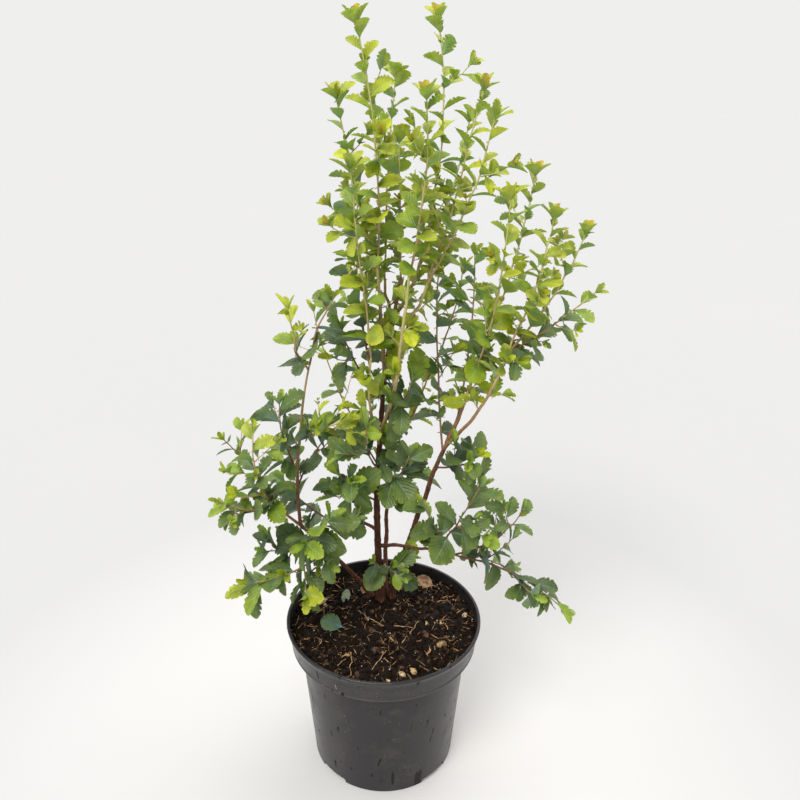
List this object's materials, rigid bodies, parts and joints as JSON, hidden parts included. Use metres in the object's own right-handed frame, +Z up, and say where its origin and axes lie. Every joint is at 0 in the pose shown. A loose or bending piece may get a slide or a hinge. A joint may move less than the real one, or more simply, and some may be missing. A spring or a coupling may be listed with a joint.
{
  "type": "potted spirea shrub",
  "caption": "Spirea shrub in a round black nursery pot: slim upright reddish stems rise from dark compost and fan into arching shoots with small toothed green leaves.",
  "frame": {"origin": "centre of the pot's flat underside, on the surface it stands on", "axes": "+Z up along the pot's axis and the shrub's height; -Y is the front that is seen, +X to its right"},
  "size_m": [0.4044, 0.3159, 0.8369],
  "materials": {
    "pot_plastic": "black moulded plastic, satin",
    "compost": "moist dark peat with bark and straw fibres",
    "bark": "smooth reddish brown young bark",
    "leaf_dark": "dark blue-green leaves, satin",
    "leaf_mid": "mid green leaves, satin",
    "leaf_fresh": "fresh green upper leaves, satin",
    "leaf_bright": "lime green new leaves, satin"
  },
  "bodies": {
    "root": {"pot": "pot_plastic", "soil": "compost", "main_stem": "bark", "right_stem": "bark", "left_stem": "bark", "back_stem": "bark", "tall_left_bough": "bark", "thin_left_bough": "bark", "pale_bough": "bark", "crown_back_bough": "bark", "tall_right_bough": "bark", "mid_right_bough": "bark", "right_upright": "bark", "right_arc": "bark", "low_right_bough": "bark", "left_upright": "bark", "back_left_bough": "bark", "rear_right_bough": "bark", "crown_tall_left": "leaf_fresh", "crown_left_fork": "leaf_fresh", "crown_left_front": "leaf_fresh", "crown_back_left": "leaf_mid", "crown_front": "leaf_fresh", "crown_back": "leaf_fresh", "crown_leader": "leaf_fresh", "crown_tall_right": "leaf_fresh", "crown_right_fork": "leaf_fresh", "crown_right_front": "leaf_fresh", "crown_right_inner": "leaf_fresh", "right_far": "leaf_mid", "right_front_shoot": "leaf_fresh", "right_back_shoot": "leaf_fresh", "right_arc_shoot": "leaf_fresh", "right_arc_fork": "leaf_fresh", "inner_back_shoot": "leaf_mid", "inner_right_shoot": "leaf_mid", "low_right_tip": "leaf_dark", "low_right_rise": "leaf_dark", "low_right_inner": "leaf_dark", "right_stem_spray": "leaf_dark", "left_far_low": "leaf_mid", "left_far_top": "leaf_mid", "left_far_back": "leaf_mid", "low_left_tip": "leaf_mid", "low_left_spray": "leaf_dark", "back_left_tip": "leaf_dark", "left_top": "leaf_mid", "left_top_side": "leaf_bright", "left_mid_front": "leaf_bright", "left_mid_side": "leaf_dark", "left_mid_back": "leaf_dark", "left_low_front": "leaf_dark", "centre_left_spray": "leaf_dark", "centre_right_spray": "leaf_dark", "centre_upper_spray": "leaf_dark", "centre_front_spray": "leaf_dark", "centre_top_spray": "leaf_dark", "foot_spray": "leaf_dark", "rear_left_shoot": "leaf_mid", "rear_right_shoot": "leaf_mid"}
  },
  "joints": []
}
